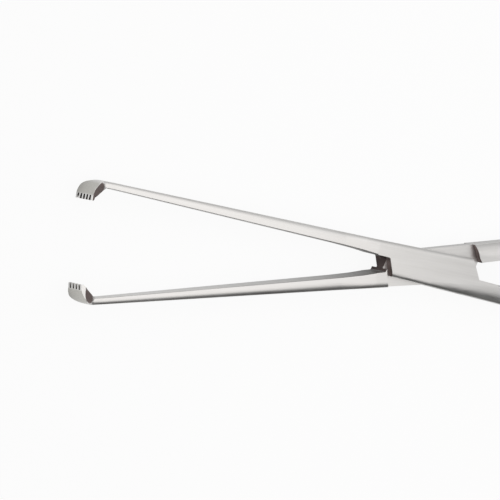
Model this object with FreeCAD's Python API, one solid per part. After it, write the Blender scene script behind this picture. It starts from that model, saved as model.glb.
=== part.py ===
import FreeCAD, Part
import math
import os
from FreeCAD import Vector

# Toothed tissue forceps, jaws part open. Lengths are millimetres and angles are degrees.
# The origin is on the pivot axis at the lock's underside. +X runs to the finger rings and +Z
# is up through the lock. Each half is drawn closed, its jaw on the +Y side and its handle on
# the -Y side. The tang half is then mirrored in Y, and both are turned about the pivot.

# Reach of the main features from the pivot axis, and the opening at rest
tip_reach = 65.3
ratchet_reach = 82.0
ring_reach = 110.5
rest_opening = 12.0

# Box lock
lock_thickness = 5.0
slot_width = 2.2
tang_side_clearance = 0.05
jaw_edge = 2.85
handle_edge = 3.07
handle_splay = 2.8
jaw_inner_edge = 0.3
handle_inner_edge = 0.5
cheek_jaw_reach = 8.52
cheek_jaw_slant = 22.0
cheek_handle_reach = 8.83
cheek_handle_slant = 29.0
crotch_radius = 0.3
shoulder_gap = 0.8
shoulder_arc_gap = 0.35
tang_reach = 9.1
tang_slant = 26.0
slot_relief = 0.25
jaw_edge_roll = 1.0
handle_edge_roll = 0.85

# Long edges. Each flat face rolls over to a narrow rim beside it
roll_turn = 40.0
roll_arc_share = 0.9
rim_radius = 0.15
corner_room = 0.98

# Pivot pin, riveted flush into both cheeks
pin_radius = 1.5
pin_running_clearance = 0.04
rivet_head_radius = 1.8
rivet_head_depth = 0.3

# Jaw shanks, flat inside and rounded outside
jaw_root_reach = 11.0
jaw_flare_reach = 13.5
jaw_neck_reach = 17.5
jaw_splay = 0.67
jaw_root_width = 2.5
jaw_flare_width = 2.29
jaw_neck_width = 2.12
jaw_tip_width = 1.12
jaw_flare_depth = 4.85
jaw_neck_depth = 4.6
jaw_tip_depth = 2.6
jaw_neck_roll = 1.3
jaw_tip_roll = 0.75
jaw_inner_radius = 0.18

# Toothed T-shaped tips, bent inward
bend_radius = 2.7
bend_lead = 1.8
bend_inner_lead = 0.3
bend_step = 9.0
flare_start = 4.0
flare_end = 54.0
tip_width = 5.95
tip_edge_thickness = 0.45
tip_edge_roll = 0.16
tip_edge_radius = 0.1
tip_bevel = 38.0
box_half_teeth = 6
tang_half_teeth = 5
tooth_pitch = 1.05
tooth_depth = 0.85
tooth_land = 0.4
tooth_root = 0.5
tooth_end_slant = 22.0

# Handles
handle_root_reach = 13.0
handle_root_roll = 2.6
handle_mid_reach = 42.0
handle_mid_width = 3.1
handle_mid_depth = 4.6
handle_mid_roll = 2.2
handle_back_length = 22.0
handle_back_width = 3.5
handle_back_depth = 3.9
handle_back_roll = 1.75
handle_back_radius = 1.6
handle_inner_radius = 0.35

# Finger rings, ovals of four arcs
ring_length = 25.5
ring_opening = 21.5
ring_band = 4.0
ring_end_radius = 11.0
ring_tilt = 14.0
web_depth = 3.0
web_radius = 11.0
web_overlap = 1.2

# Ratchet bars
ratchet_width = 4.6
ratchet_root_flare = 1.2
ratchet_bar_depth = 1.9
ratchet_crest_gap = 0.12
ratchet_end_clearance = 1.2
ratchet_pitch = 1.3
ratchet_tooth_height = 0.5
ratchet_teeth = 3
ratchet_land = 0.15
ratchet_corner_radius = 0.9

mid_z = lock_thickness / 2
beyond = 3 * lock_thickness
origin = Vector(0, 0, 0)
up = Vector(0, 0, 1)


def tan(degrees):
    return math.tan(math.radians(degrees))


def smooth(share):
    share = max(0.0, min(1.0, share))
    return share * share * (3 - 2 * share)


def between(first, second, share):
    return first + (second - first) * share


def rounded_loop(corners, radii):
    """A closed wire through flat corners, each rounded to its own radius, or sharp where that is 0.

    Neighbours that would run into each other get less, so that both still fit on the edge between them.
    """
    count = len(corners)
    halves = []
    for number, corner in enumerate(corners):
        back = corners[number - 1] - corner
        ahead = corners[(number + 1) % count] - corner
        halves.append(back.getAngle(ahead) / 2)
    wanted = [radius / math.tan(half) for radius, half in zip(radii, halves)]
    stops = []
    for number, corner in enumerate(corners):
        setback = wanted[number]
        ways = []
        for other in (number - 1, (number + 1) % count):
            way = corners[other] - corner
            both = wanted[number] + wanted[other]
            if both > corner_room * way.Length:
                setback = min(setback, wanted[number] * corner_room * way.Length / both)
            ways.append(way.normalize())
        half = halves[number]
        middle = (ways[0] + ways[1]).normalize()
        crown = corner + middle * (setback * (1 - math.sin(half)) / math.cos(half))
        stops.append((corner + ways[0] * setback, crown, corner + ways[1] * setback, setback))
    edges = []
    for number, (first, crown, last, setback) in enumerate(stops):
        if setback > 0:
            edges.append(Part.Arc(first, crown, last).toShape())
        edges.append(Part.makeLine(last, stops[(number + 1) % count][0]))
    return Part.Wire(edges)


def edge_corners(corner, face, side, roll, radius):
    """The corners that one long edge needs: its rim, and where the face starts to roll, if it does."""
    if roll == 0:
        return [(corner, radius)]
    turn = math.radians(roll_turn)
    step = roll / (1 + roll_arc_share / math.cos(turn))
    on_face = corner + (face - corner).normalize() * step
    on_side = corner + (side - corner).normalize() * (step * math.tan(turn))
    arc_radius = roll_arc_share * step / math.cos(turn) / math.tan(turn / 2)
    return [(on_face, arc_radius), (on_side, radius)]


def section(inner, outer, depths, inner_edge, outer_edge):
    """A bar's section standing on the line from inner to outer, centred on the mid-plane.

    depths are those of its inner and outer side, and an edge is its roll's width and its rim's radius.
    """
    start = Vector(inner[0], inner[1], mid_z)
    end = Vector(outer[0], outer[1], mid_z)
    inner_rise = up * (depths[0] / 2)
    outer_rise = up * (depths[1] / 2)
    low_inner, high_inner = start - inner_rise, start + inner_rise
    low_outer, high_outer = end - outer_rise, end + outer_rise
    loop = edge_corners(low_inner, low_outer, high_inner, *inner_edge)[::-1]
    loop += edge_corners(low_outer, low_inner, high_outer, *outer_edge)
    loop += edge_corners(high_outer, high_inner, low_outer, *outer_edge)[::-1]
    loop += edge_corners(high_inner, high_outer, low_inner, *inner_edge)
    return rounded_loop([corner for corner, radius in loop], [radius for corner, radius in loop])


def prism(points, low, high, rounded=None):
    """An outline in X and Y, raised from low to high. rounded gives the radius of some corners."""
    rounded = rounded or {}
    corners = [Vector(x, y, low) for x, y in points]
    radii = [rounded.get(number, 0) for number in range(len(points))]
    return Part.Face(rounded_loop(corners, radii)).extrude(up * (high - low))


def prism_along_x(points, low, high):
    """An outline in Y and Z, run from low to high along X."""
    corners = [Vector(low, y, z) for y, z in points]
    return Part.Face(Part.makePolygon(corners + corners[:1])).extrude(Vector(high - low, 0, 0))


def handle_outer(x):
    return -(handle_edge + x * tan(handle_splay))


def handle_inner(x):
    return -(handle_inner_edge + (x - cheek_handle_reach) * tan(handle_splay))


def handle_middle(x):
    return (handle_inner(x) + handle_outer(x)) / 2


def jaw_outer(x):
    return jaw_edge - (x + cheek_jaw_reach) * tan(jaw_splay)


def lock_bar():
    """A bar with the lock's rounded long edges, from the jaw's root to the handle's root."""
    sections = []
    depths = (lock_thickness, lock_thickness)
    stops = [
        (-jaw_root_reach, handle_edge_roll),
        (0.0, handle_edge_roll),
        (handle_root_reach, handle_root_roll),
    ]
    for x, low_roll in stops:
        low = (x, handle_outer(x))
        high = (x, jaw_outer(min(x, -cheek_jaw_reach)))
        sections.append(section(high, low, depths, (jaw_edge_roll, rim_radius), (low_roll, rim_radius)))
    return Part.makeLoft(sections, True, True)


def half_block(left_reach, left_slant, right_reach, right_slant):
    """A half's lock with both its roots, its free ends leaning towards its own jaw's side."""
    left_lean = tan(left_slant)
    right_lean = tan(right_slant)
    outline = [
        (-jaw_root_reach, jaw_outer(-jaw_root_reach) - jaw_root_width),
        (-left_reach - jaw_inner_edge * left_lean, jaw_inner_edge),
        (-left_reach + beyond * left_lean, -beyond),
        (handle_root_reach, -beyond),
        (handle_root_reach, handle_inner(handle_root_reach)),
        (right_reach + handle_inner_edge * right_lean, -handle_inner_edge),
        (right_reach - beyond * right_lean, beyond),
        (-jaw_root_reach, beyond),
    ]
    return lock_bar().common(prism(outline, 0, lock_thickness, {1: crotch_radius, 5: crotch_radius}))


def jaw():
    """The shank and its bent, flared tip."""
    bend_x = bend_radius - tip_reach
    tip = bend_x + bend_lead
    tip_edge = jaw_outer(tip)
    stops = [
        (-jaw_root_reach, jaw_root_width, lock_thickness, jaw_edge_roll),
        (-jaw_flare_reach, jaw_flare_width, jaw_flare_depth, jaw_edge_roll),
        (-jaw_neck_reach, jaw_neck_width, jaw_neck_depth, jaw_neck_roll),
        (tip, jaw_tip_width, jaw_tip_depth, jaw_tip_roll),
    ]
    sections = []
    for x, width, depth, roll in stops:
        inner = (x, jaw_outer(x) - width)
        outer = (x, jaw_outer(x))
        sections.append(section(inner, outer, (depth, depth), (0, jaw_inner_radius), (roll, rim_radius)))
    inner_start = Vector(bend_x + bend_inner_lead, tip_edge - jaw_tip_width, 0)
    inner_end = Vector(tip_edge_thickness - tip_reach, 0, 0)
    angles = [number * bend_step for number in range(int(90 / bend_step) + 1)]
    outers = []
    for angle in angles:
        turn = math.radians(angle)
        outer = Vector(-math.sin(turn), math.cos(turn), 0) * bend_radius
        outers.append((angle, outer + Vector(bend_x, tip_edge - bend_radius, 0)))
    outers.append((90, Vector(-tip_reach, 0, 0)))
    for angle, outer in outers:
        inner = between(inner_start, inner_end, 1 - outer.y / tip_edge)
        flare = smooth((angle - flare_start) / (flare_end - flare_start))
        depth = between(jaw_tip_depth, tip_width, flare)
        inner_depth = max(jaw_tip_depth, depth - 2 * (outer - inner).Length * tan(tip_bevel))
        inner_edge = (0, between(jaw_inner_radius, tip_edge_radius, flare))
        roll = between(jaw_tip_roll, tip_edge_roll, flare)
        outer_edge = (roll, between(rim_radius, tip_edge_radius, flare))
        sections.append(section(inner, outer, (inner_depth, depth), inner_edge, outer_edge))
    return Part.makeLoft(sections, True, True)


def tooth_gaps(teeth):
    """Notches between the teeth, the outermost ones open to the tip's ends."""
    lip = tooth_land
    half_mouth = (tooth_pitch - tooth_land) / 2
    half_lip = half_mouth + (half_mouth - tooth_root / 2) * lip / tooth_depth
    end_lean = tan(tooth_end_slant)
    gaps = []
    for number in range(teeth + 1):
        middle = (number - teeth / 2) * tooth_pitch + mid_z
        outline = [
            (-lip, middle - half_lip),
            (tooth_depth, middle - tooth_root / 2),
            (tooth_depth, middle + tooth_root / 2),
            (-lip, middle + half_lip),
        ]
        if number in (0, teeth):
            side = -1 if number == 0 else 1
            root = middle - side * tooth_root / 2
            outline = [
                (-lip, middle - side * half_lip),
                (tooth_depth, root),
                (tooth_depth + tip_width, root + side * tip_width * end_lean),
                (tooth_depth + tip_width, root + side * 2 * tip_width),
                (-lip, root + side * 2 * tip_width),
            ]
        gaps.append(prism_along_x(outline, -tip_reach - lip, bend_radius - tip_reach))
    return gaps[0].fuse(gaps[1:])


def oval_ring():
    """The ring in its own place: its long axis on X, its handle's side at +Y, and its middle at the origin.

    It returns the ring, its centreline's filled outline, and the sizes that place the handle.
    """
    long_half = (ring_length + ring_band) / 2
    short_half = (ring_opening + ring_band) / 2
    end_radius = ring_end_radius
    end_offset = long_half - end_radius
    side_radius = (short_half ** 2 + end_offset ** 2 - end_radius ** 2) / 2 / (short_half - end_radius)
    side_offset = side_radius - short_half
    meet = math.degrees(math.atan2(side_offset, end_offset))
    pieces = []
    arcs = [
        (Vector(end_offset, 0, 0), end_radius, -meet, meet),
        (Vector(0, -side_offset, 0), side_radius, meet, 180 - meet),
        (Vector(-end_offset, 0, 0), end_radius, 180 - meet, 180 + meet),
        (Vector(0, side_offset, 0), side_radius, 180 + meet, 360 - meet),
    ]
    edges = []
    for centre, radius, start, end in arcs:
        band = Part.makeTorus(radius, ring_band / 2, origin, up, -180, 180, end - start)
        band.rotate(origin, up, start)
        band.translate(centre)
        pieces.append(band)
        places = [math.radians(angle) for angle in (start, (start + end) / 2, end)]
        points = [centre + Vector(math.cos(a), math.sin(a), 0) * radius for a in places]
        edges.append(Part.Arc(*points).toShape())
    fill = Part.Face(Part.Wire(edges)).extrude(up * beyond)
    fill.translate(up * (-beyond / 2))
    return pieces[0].fuse(pieces[1:]), fill, end_offset, side_radius, side_offset


def handle():
    """The straight handle with its finger ring, and the web that fills the corner between them."""
    ring, fill, end_offset, side_radius, side_offset = oval_ring()
    tilt = math.radians(ring_tilt)
    along = Vector(math.cos(tilt), math.sin(tilt), 0)
    aside = Vector(-math.sin(tilt), math.cos(tilt), 0)
    height = side_radius - side_offset * math.cos(tilt)
    touch = ring_reach - side_offset * math.sin(tilt)
    sections = []
    root_width = handle_inner(handle_root_reach) - handle_outer(handle_root_reach)
    front_edge = (0, handle_inner_radius)
    back_edge = (handle_back_roll, handle_back_radius)
    back_size = (handle_back_width, handle_back_depth, (0, handle_back_radius), back_edge)
    stops = [
        (handle_root_reach, root_width, lock_thickness, front_edge, (handle_root_roll, rim_radius)),
        (handle_mid_reach, handle_mid_width, handle_mid_depth, front_edge, (handle_mid_roll, rim_radius)),
        (touch - handle_back_length, *back_size),
        (touch, *back_size),
    ]
    for x, width, depth, inner_edge, outer_edge in stops:
        inner = (x, handle_middle(x) + width / 2)
        outer = (x, handle_middle(x) - width / 2)
        sections.append(section(inner, outer, (depth, depth), inner_edge, outer_edge))
    shank = Part.makeLoft(sections, True, True)
    line = height - handle_back_width / 2
    front = Vector(-end_offset, 0, 0)
    reach = ring_end_radius + ring_band / 2 + web_radius
    rise = line - web_radius - front.dot(aside)
    corner = aside * (line - web_radius) + along * (front.dot(along) - math.sqrt(reach ** 2 - rise ** 2))
    on_line = corner + aside * web_radius
    inside = front + (corner - front) * (ring_end_radius / reach)
    on_ring = front + (corner - front) * ((ring_end_radius + ring_band / 2) / reach)
    points = [on_line, on_line + aside * web_overlap, aside * height, inside, on_ring]
    web = prism([(p.x, p.y) for p in points], -web_depth / 2, web_depth / 2)
    web = web.cut(Part.makeCylinder(web_radius, beyond, corner - up * (beyond / 2))).cut(fill)
    ring = ring.fuse(web)
    splay = math.radians(handle_splay)
    ring.rotate(origin, up, -handle_splay - ring_tilt)
    foot = Vector(ring_reach, handle_middle(ring_reach), mid_z)
    ring.translate(foot - Vector(math.sin(splay), math.cos(splay), 0) * height)
    return shank.fuse(ring)


def ratchet(side):
    """The toothed bar across the mid-plane. side is +1 for a bar above it and -1 for one below."""
    edge = handle_inner(ratchet_reach)
    end = -edge - ratchet_end_clearance
    root = handle_middle(ratchet_reach)
    face = mid_z + side * ratchet_crest_gap / 2
    back = mid_z + side * ratchet_bar_depth
    left = ratchet_reach - ratchet_width / 2
    right = ratchet_reach + ratchet_width / 2
    flare = ratchet_root_flare
    outline = [
        (left - flare, root),
        (right + flare, root),
        (right + flare, edge),
        (right, edge + flare),
        (right, end),
        (left, end),
        (left, edge + flare),
        (left - flare, edge),
    ]
    rounded = {4: ratchet_corner_radius, 5: ratchet_corner_radius}
    bar = prism(outline, min(face, back), max(face, back), rounded)
    deep = face + side * ratchet_tooth_height
    proud = face - side * ratchet_land
    first = end - ratchet_pitch / 2
    cuts = [[(first, proud), (end + ratchet_land, proud), (end + ratchet_land, deep)]]
    for number in range(ratchet_teeth):
        crest = first - ratchet_land - number * ratchet_pitch
        cuts.append([(crest, proud), (crest, deep), (crest - ratchet_pitch + ratchet_land, proud)])
    for points in cuts:
        bar = bar.cut(prism_along_x(points, left - flare, right + flare))
    return bar


def pin():
    """The rivet, its heads spread into the cheeks' countersinks."""
    shaft = Part.makeCylinder(pin_radius, lock_thickness)
    low = Part.makeCone(rivet_head_radius, pin_radius, rivet_head_depth)
    head_foot = Vector(0, 0, lock_thickness - rivet_head_depth)
    high = Part.makeCone(pin_radius, rivet_head_radius, rivet_head_depth, head_foot)
    return shaft.fuse([low, high]).removeSplitter()


def box_half():
    """Slotted for the tang. The slot's ends lean into both roots, so the tang's ends swing clear."""
    lock = half_block(cheek_jaw_reach, cheek_jaw_slant, cheek_handle_reach, cheek_handle_slant)
    reach = tang_reach + slot_relief
    lean = beyond * tan(tang_slant)
    slot = [
        (-reach - lean, -beyond),
        (reach - lean, -beyond),
        (reach + lean, beyond),
        (-reach + lean, beyond),
    ]
    lock = lock.cut(prism(slot, mid_z - slot_width / 2, mid_z + slot_width / 2))
    toothed = jaw().cut(tooth_gaps(box_half_teeth))
    return toothed.fuse([lock, handle(), ratchet(1)]).cut(pin())


def tang_half():
    """Thinned to a tang between an arc shoulder by the jaw and a leaning shoulder by the handle."""
    lock = half_block(tang_reach, tang_slant, tang_reach, tang_slant)
    cheek_corner = cheek_jaw_reach + jaw_inner_edge * tan(cheek_jaw_slant)
    arc = math.hypot(cheek_corner, jaw_inner_edge) + shoulder_arc_gap
    shoulder = cheek_handle_reach + shoulder_gap
    lean = beyond * tan(cheek_handle_slant)
    recess = [(0, -beyond), (shoulder - lean, -beyond), (shoulder + lean, beyond), (0, beyond)]
    tang_half_depth = slot_width / 2 - tang_side_clearance
    for low, high in ((0, mid_z - tang_half_depth), (mid_z + tang_half_depth, lock_thickness)):
        lock = lock.cut(Part.makeCylinder(arc, high - low, up * low))
        lock = lock.cut(prism(recess, low, high))
    bore = Part.makeCylinder(pin_radius + pin_running_clearance, lock_thickness)
    toothed = jaw().cut(tooth_gaps(tang_half_teeth))
    return toothed.fuse([lock, handle(), ratchet(-1)]).cut(bore)


def placed(shape, angle, mirrored=False):
    """The cleaned shape, mirrored in Y if asked, and turned about the pivot."""
    shape = shape.removeSplitter()
    if len(shape.Solids) == 1:
        shape = shape.Solids[0]
    if mirrored:
        shape = shape.mirror(origin, Vector(0, 1, 0))
    return shape.rotate(origin, up, angle)


nodes = {
    "box_half": placed(box_half(), -rest_opening / 2),
    "tang_half": placed(tang_half(), rest_opening / 2, True),
    "pivot_pin": placed(pin(), 0),
}
os.makedirs("parts", exist_ok=True)
for name, shape in nodes.items():
    shape.exportStep("parts/" + name + ".step")
    print(name, len(shape.Solids), "solid, valid", shape.isValid(), "volume", round(shape.Volume, 2))
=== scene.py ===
import math
import bpy
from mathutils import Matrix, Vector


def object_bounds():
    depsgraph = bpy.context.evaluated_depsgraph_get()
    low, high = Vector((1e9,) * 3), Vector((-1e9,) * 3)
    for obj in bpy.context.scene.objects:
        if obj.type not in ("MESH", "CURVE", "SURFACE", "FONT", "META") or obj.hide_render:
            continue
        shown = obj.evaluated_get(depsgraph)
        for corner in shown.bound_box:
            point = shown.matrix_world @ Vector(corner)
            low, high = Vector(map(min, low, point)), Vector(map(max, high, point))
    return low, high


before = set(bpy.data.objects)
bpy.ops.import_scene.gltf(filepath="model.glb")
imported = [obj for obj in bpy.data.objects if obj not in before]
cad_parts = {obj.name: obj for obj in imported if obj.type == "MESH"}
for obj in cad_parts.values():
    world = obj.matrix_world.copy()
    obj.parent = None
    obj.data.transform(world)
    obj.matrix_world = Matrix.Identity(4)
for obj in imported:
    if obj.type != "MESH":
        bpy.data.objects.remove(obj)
cad_low, cad_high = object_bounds()

MM = 0.001
MID_Z = 2.5 * MM
REST_HALF_ANGLE = math.radians(6.0)

# Where each finish and each painted shade lies: distances from the pivot, from the line on which the
# tips close, and from the middle of the thickness. Each factor is 0 at the first number and 1 at the
# second
IN_LOCK = (12.5 * MM, 11.5 * MM)
AT_TIP = (60.0 * MM, 61.0 * MM)
NEAR_CLOSING_LINE = (1.0 * MM, 0.8 * MM)
AMONG_TEETH = (2.3 * MM, 2.185 * MM)

# Which way the faces of each painted shade look: the cosine between the normal and the half's own axis,
# and for the walls of the gaps between the normal and Z. 0 and 1 as above
SHOULDER_FACING = (0.6, 0.85)
BEVEL_FACING = (0.4, 0.5)
FRONT_FACING = (-0.4, -0.6)
GAP_WALL_FACING = (0.6, 0.8)

# Steel
STEEL_IOR = 2.6
DARKER_STEEL = (0.70, 0.69, 0.675, 1)
PALER_STEEL = (0.80, 0.793, 0.78, 1)
# Painted shade: the tips' front faces are tinted darker, for the darker reflection they show
FRONT_SHADE_TINT = (0.72, 0.715, 0.68, 1)
# Painted shade: a dark reddish colour on the lock shoulders and tip bevels, for the dark reflection
# they show
FACET_SHADE_STEEL = (0.215, 0.168, 0.16, 1)
# Painted shade in the walls of the tooth gaps: dark on the box half, whose gaps lie in shade, pale on
# the tang half, whose gaps catch light
DARK_GAP_SHADE = (0.045, 0.04, 0.035, 1)
PALE_GAP_SHADE = (0.42, 0.41, 0.40, 1)
# Painted shade in crevices and corners: the colour darkens where other surfaces of the same piece stand
# within the reach
CREVICE_SHADE = (0.06, 0.055, 0.05, 1)
UNSHADED = (1, 1, 1, 1)
CREVICE_REACH = 1.6 * MM
FULL_SHADE_OPENNESS = 0.15
UNSHADED_OPENNESS = 0.68
OCCLUSION_SAMPLES = 8
LINES_PER_METRE = (70, 1500, 1500)
CLOUDS_PER_METRE = 90.0
GRAIN_PER_METRE = 9000.0
CLOUD_SHARE = 0.3
PATTERN_LOW = 0.3
PATTERN_HIGH = 0.7
LOW_ROUGHNESS = 0.31
HIGH_ROUGHNESS = 0.39
UNPOLISHED_ROUGHNESS = 0.45
LINES_RELIEF = 1.6
BUMP_STRENGTH = 0.1
BUMP_DISTANCE = 0.02 * MM

# Surroundings. Each grey of the room has a nearness to the flag, from 0 opposite it to 1 at its middle
FLOOR_SIZE = 6.0
FLOOR_COLOUR = (0.93, 0.93, 0.93, 1)
WHITE = (1, 1, 1, 1)
WHITE_SHARE = 0.92
SHELTER_REACH = 12.0 * MM
FLAG_SIDE = (0.458, -0.865, 0.204)
PALE_ROOM = ((0.5, 0.67), (0.72, 0.63), (0.83, 0.57))
FLAG_EDGE = ((0.89, 0.46), (0.935, 0.3), (0.96, 0.13), (0.98, 0.03))
HORIZON_SHARE = 0.6
FULL_LIGHT_HEIGHT = 0.75
LAMP_HEIGHT = 0.12
WARM_WHITE = (1.0, 0.965, 0.945)

# The inputs of a Mix node share their names, so these are their numbers and that of its result
MIX_SOCKETS = {"FLOAT": (2, 3, 0), "RGBA": (6, 7, 2)}

scene = bpy.context.scene
scene.view_settings.view_transform = "Standard"


def node(tree, kind, at, **settings):
    """A new node of this kind, drawn at this place, with its settings."""
    made = tree.nodes.new(kind)
    made.location = at
    for name, value in settings.items():
        setattr(made, name, value)
    return made


def feed(tree, socket, source):
    """Gives an input its source, which is another node's output or a plain value."""
    if isinstance(source, bpy.types.NodeSocket):
        tree.links.new(source, socket)
    else:
        socket.default_value = source


def feed_all(tree, made, sources):
    """Feeds a node's first inputs in their order, or its named ones."""
    if isinstance(sources, dict):
        for name, source in sources.items():
            feed(tree, made.inputs[name], source)
    else:
        for socket, source in zip(made.inputs, sources):
            feed(tree, socket, source)


def maths(tree, at, operation, *sources, clamp=False):
    made = node(tree, "ShaderNodeMath", at, operation=operation, use_clamp=clamp)
    feed_all(tree, made, sources)
    return made.outputs["Value"]


def measure(tree, at, operation, *sources):
    """A number from one or two vectors."""
    made = node(tree, "ShaderNodeVectorMath", at, operation=operation)
    feed_all(tree, made, sources)
    return made.outputs["Value"]


def step_up(tree, at, source, start, end, low=0.0, high=1.0):
    """Low where the source is at start, high where it is at end, even between and level beyond."""
    made = node(tree, "ShaderNodeMapRange", at)
    limits = {"Value": source, "From Min": start, "From Max": end, "To Min": low, "To Max": high}
    feed_all(tree, made, limits)
    return made.outputs["Result"]


def ramp(tree, at, source, stops):
    """A colour that goes from stop to stop, each a position from 0 to 1 and its colour."""
    made = node(tree, "ShaderNodeValToRGB", at)
    elements = made.color_ramp.elements
    while len(elements) < len(stops):
        elements.new(0.5)
    for element, (position, colour) in zip(elements, stops):
        element.position = position
        element.color = colour
    feed(tree, made.inputs["Fac"], source)
    return made.outputs["Color"]


def mix(tree, at, kind, factor, first, second, blend="MIX"):
    """The first number or colour, which the factor turns to the second, or to their product."""
    made = node(tree, "ShaderNodeMix", at, data_type=kind, blend_type=blend)
    first_socket, second_socket, result = MIX_SOCKETS[kind]
    feed(tree, made.inputs["Factor"], factor)
    feed(tree, made.inputs[first_socket], first)
    feed(tree, made.inputs[second_socket], second)
    return made.outputs[result]


def noise(tree, at, vector, scale, detail):
    made = node(tree, "ShaderNodeTexNoise", at)
    feed_all(tree, made, {"Vector": vector, "Scale": scale, "Detail": detail})
    return made.outputs["Fac"]


def mapping(tree, at, vector, setting, value):
    made = node(tree, "ShaderNodeMapping", at)
    feed_all(tree, made, {"Vector": vector, setting: value})
    return made.outputs["Vector"]


def axes(tree, at, vector):
    made = node(tree, "ShaderNodeSeparateXYZ", at)
    feed(tree, made.inputs["Vector"], vector)
    return made.outputs


def openness(tree, at, reach, **settings):
    """1 in the open and less where other surfaces stand within the reach."""
    made = node(tree, "ShaderNodeAmbientOcclusion", at, samples=OCCLUSION_SAMPLES, **settings)
    feed(tree, made.inputs["Distance"], reach)
    return made.outputs["AO"]


def shade_facet_masks(tree, spots, turn):
    """Factors of the lock shoulders and tip bevels, which get painted shade and more roughness, of the
    tips' front faces, which get painted shade, and of the tips.
    """
    half_axis = (math.cos(turn), -math.sin(turn), 0)
    facing = measure(tree, (-1300, -700), "DOT_PRODUCT", spots["Normal"], half_axis)
    either_way = maths(tree, (-1100, -600), "ABSOLUTE", facing)
    radius = measure(tree, (-1300, -900), "LENGTH", spots["Object"])
    shoulder = step_up(tree, (-900, -600), either_way, *SHOULDER_FACING)
    in_lock = step_up(tree, (-900, -850), radius, *IN_LOCK)
    bevel = step_up(tree, (-900, -1100), facing, *BEVEL_FACING)
    at_tip = step_up(tree, (-900, -1350), radius, *AT_TIP)
    front = step_up(tree, (-900, -1600), facing, *FRONT_FACING)
    lock_part = maths(tree, (-700, -750), "MULTIPLY", shoulder, in_lock)
    tip_part = maths(tree, (-700, -1150), "MULTIPLY", bevel, at_tip)
    tip_fronts = maths(tree, (-700, -1450), "MULTIPLY", front, at_tip)
    shaded_rough_facets = maths(tree, (-500, -900), "MAXIMUM", lock_part, tip_part)
    return shaded_rough_facets, tip_fronts, at_tip


def tooth_faces(tree, spots, along, at_tip):
    """Factors of the teeth's band, and of the side walls of its gaps, where shade is painted."""
    place = axes(tree, (-1300, -1900), along)
    normal = axes(tree, (-1300, -2300), spots["Normal"])
    off_line = maths(tree, (-1100, -1850), "ABSOLUTE", place["Y"])
    from_middle = maths(tree, (-1100, -2050), "SUBTRACT", place["Z"], MID_Z)
    aside = maths(tree, (-950, -2100), "ABSOLUTE", from_middle)
    upright = maths(tree, (-1100, -2350), "ABSOLUTE", normal["Z"])
    near_line = step_up(tree, (-750, -1850), off_line, *NEAR_CLOSING_LINE)
    among_teeth = step_up(tree, (-750, -2100), aside, *AMONG_TEETH)
    wall = step_up(tree, (-750, -2350), upright, *GAP_WALL_FACING)
    teeth = maths(tree, (-550, -1750), "MULTIPLY", at_tip, near_line)
    between = maths(tree, (-400, -1900), "MULTIPLY", teeth, among_teeth)
    gaps = maths(tree, (-250, -2050), "MULTIPLY", between, wall)
    return teeth, gaps


def steel(name, turn, gap_shade_colour):
    """Satin forged steel with a fine grain, faint lengthwise polishing lines and clouded patches, with
    painted shade in its crevices and tooth gaps, on its lock shoulders and tip bevels and on the tips'
    front faces.
    """
    material = bpy.data.materials.new(name)
    material.use_nodes = True
    tree = material.node_tree
    shader = tree.nodes["Principled BSDF"]
    shader.inputs["Metallic"].default_value = 1.0
    shader.inputs["IOR"].default_value = STEEL_IOR
    spots = node(tree, "ShaderNodeTexCoord", (-1500, 0)).outputs
    along = mapping(tree, (-1300, -200), spots["Object"], "Rotation", (0, 0, turn))
    lengthwise = mapping(tree, (-1100, -200), along, "Scale", LINES_PER_METRE)
    lines = noise(tree, (-900, -150), lengthwise, scale=1.0, detail=4.0)
    grain = noise(tree, (-900, -400), spots["Object"], scale=GRAIN_PER_METRE, detail=2.0)
    cloud = noise(tree, (-900, 100), spots["Object"], scale=CLOUDS_PER_METRE, detail=3.0)
    pattern = mix(tree, (-700, 100), "FLOAT", CLOUD_SHARE, lines, cloud)

    shaded_rough_facets, tip_fronts, at_tip = shade_facet_masks(tree, spots, turn)
    teeth, gaps = tooth_faces(tree, spots, along, at_tip)
    # Painted shade: the tips' front faces, less the teeth's band, are tinted darker
    front_shade_part = maths(tree, (-500, 600), "SUBTRACT", tip_fronts, teeth, clamp=True)
    # Painted shade in crevices, from how enclosed the surface is
    open_part = openness(tree, (-700, 850), CREVICE_REACH, only_local=True)

    tone_stops = ((PATTERN_LOW, DARKER_STEEL), (PATTERN_HIGH, PALER_STEEL))
    crevice_shade_stops = ((FULL_SHADE_OPENNESS, CREVICE_SHADE), (UNSHADED_OPENNESS, UNSHADED))
    tone = ramp(tree, (-500, 350), pattern, tone_stops)
    crevice_shade = ramp(tree, (-500, 850), open_part, crevice_shade_stops)
    front_shaded = mix(tree, (-200, 600), "RGBA", front_shade_part, tone, FRONT_SHADE_TINT, "MULTIPLY")
    # Painted shade on the lock shoulders and tip bevels
    facet_shaded = mix(tree, (-50, 700), "RGBA", shaded_rough_facets, front_shaded, FACET_SHADE_STEEL)
    # Painted shade in crevices multiplies the colour
    crevice_shaded = mix(tree, (100, 800), "RGBA", 1.0, facet_shaded, crevice_shade, "MULTIPLY")
    # Painted shade in the walls of the tooth gaps
    colour = mix(tree, (250, 900), "RGBA", gaps, crevice_shaded, gap_shade_colour)

    gloss = step_up(tree, (-500, 50), pattern, PATTERN_LOW, PATTERN_HIGH, LOW_ROUGHNESS, HIGH_ROUGHNESS)
    roughness = mix(tree, (-300, 0), "FLOAT", shaded_rough_facets, gloss, UNPOLISHED_ROUGHNESS)
    relief = maths(tree, (-500, -300), "MULTIPLY_ADD", lines, LINES_RELIEF, grain)
    bump = node(tree, "ShaderNodeBump", (-300, -300))
    bump.inputs["Strength"].default_value = BUMP_STRENGTH
    bump.inputs["Distance"].default_value = BUMP_DISTANCE
    feed(tree, bump.inputs["Height"], relief)
    looks = {"Base Color": colour, "Roughness": roughness, "Normal": bump.outputs["Normal"]}
    feed_all(tree, shader, looks)
    return material


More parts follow.
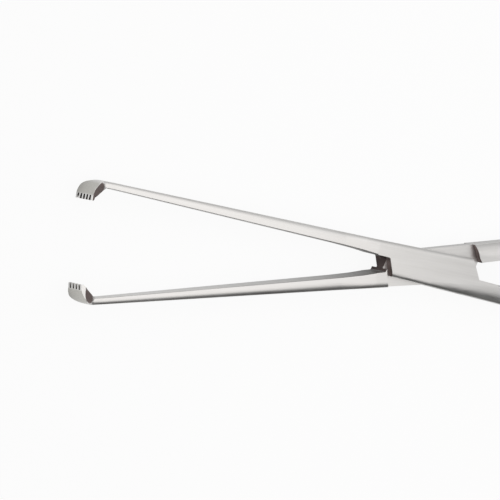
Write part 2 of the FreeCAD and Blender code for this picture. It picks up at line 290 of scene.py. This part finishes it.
finishes = {
    # Each half gets its own painted shade in its tooth gaps
    "box_half": steel("box_half_steel", REST_HALF_ANGLE, DARK_GAP_SHADE),
    "tang_half": steel("tang_half_steel", -REST_HALF_ANGLE, PALE_GAP_SHADE),
    "pivot_pin": steel("pivot_pin_steel", REST_HALF_ANGLE, DARK_GAP_SHADE),
}
for name, material in finishes.items():
    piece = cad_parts[name]
    for slot in piece.material_slots:
        slot.material = material

# The floor is seen white, by the camera and in the metal, and keeps part of the shadow that falls on
# it. In the metal, its white also darkens close to the object, which shelters the floor there.
bpy.ops.mesh.primitive_plane_add(size=FLOOR_SIZE, location=(0, 0, cad_low.z))
floor = bpy.context.object
floor.name = "floor"
paper = bpy.data.materials.new("floor_paper")
paper.use_nodes = True
tree = paper.node_tree
tree.nodes.clear()
ray = node(tree, "ShaderNodeLightPath", (-800, 300)).outputs
mirrored = maths(tree, (-600, 200), "MAXIMUM", ray["Is Glossy Ray"], ray["Is Transmission Ray"])
seen = maths(tree, (-400, 300), "MAXIMUM", ray["Is Camera Ray"], mirrored)
share = maths(tree, (-200, 300), "MULTIPLY", seen, WHITE_SHARE)
sheltered = openness(tree, (-600, -100), SHELTER_REACH)
strength = mix(tree, (-200, 50), "FLOAT", ray["Is Camera Ray"], sheltered, 1.0)
white = node(tree, "ShaderNodeEmission", (0, 50))
feed_all(tree, white, {"Color": WHITE, "Strength": strength})
plain = node(tree, "ShaderNodeBsdfDiffuse", (0, -100))
plain.inputs["Color"].default_value = FLOOR_COLOUR
blend = node(tree, "ShaderNodeMixShader", (200, 0))
feed_all(tree, blend, (share, plain.outputs["BSDF"], white.outputs["Emission"]))
out = node(tree, "ShaderNodeOutputMaterial", (400, 0))
feed(tree, out.inputs["Surface"], blend.outputs["Shader"])
floor.data.materials.append(paper)

# The room is pale overhead, dimmer towards the horizon, and black where a flag stands low in front.
world = bpy.data.worlds.new("room")
scene.world = world
world.use_nodes = True
tree = world.node_tree
way = node(tree, "ShaderNodeTexCoord", (-1100, 0)).outputs["Generated"]
towards_flag = measure(tree, (-900, 100), "DOT_PRODUCT", way, FLAG_SIDE)
nearness = step_up(tree, (-700, 100), towards_flag, -1.0, 1.0)
room_stops = [(position, (grey, grey, grey, 1)) for position, grey in PALE_ROOM + FLAG_EDGE]
shade = ramp(tree, (-500, 100), nearness, room_stops)
rise = axes(tree, (-900, -200), way)["Z"]
light_share = step_up(tree, (-700, -200), rise, 0.0, FULL_LIGHT_HEIGHT, HORIZON_SHARE, 1.0)
feed_all(tree, tree.nodes["Background"], {"Color": shade, "Strength": light_share})


def softbox(name, x, y, width, length, power):
    """A lamp over the point x, y that looks straight down."""
    light = bpy.data.lights.new(name, "AREA")
    light.shape = "RECTANGLE"
    light.size = width
    light.size_y = length
    light.energy = power
    light.color = WARM_WHITE
    holder = bpy.data.objects.new(name, light)
    scene.collection.objects.link(holder)
    holder.location = (x, y, LAMP_HEIGHT)
    holder.visible_camera = False


softbox("top_softbox", x=0.005, y=0.028, width=0.12, length=0.225, power=0.0525)
softbox("rear_softbox", x=0.08, y=0.12, width=0.08, length=0.16, power=0.012)

# The camera stands off the tip end, 61 degrees above the lock's plane.
camera_data = bpy.data.cameras.new("camera")
camera_data.lens = 369.033
camera_data.sensor_width = 36.0
camera_data.clip_start = 0.05
camera_data.clip_end = 20.0
camera = bpy.data.objects.new("camera", camera_data)
scene.collection.objects.link(camera)
camera.location = (-0.439537, 0.04583, 0.73067)
camera.rotation_euler = [math.radians(degrees) for degrees in (-6.3677, -28.6438, 6.7473)]
scene.camera = camera
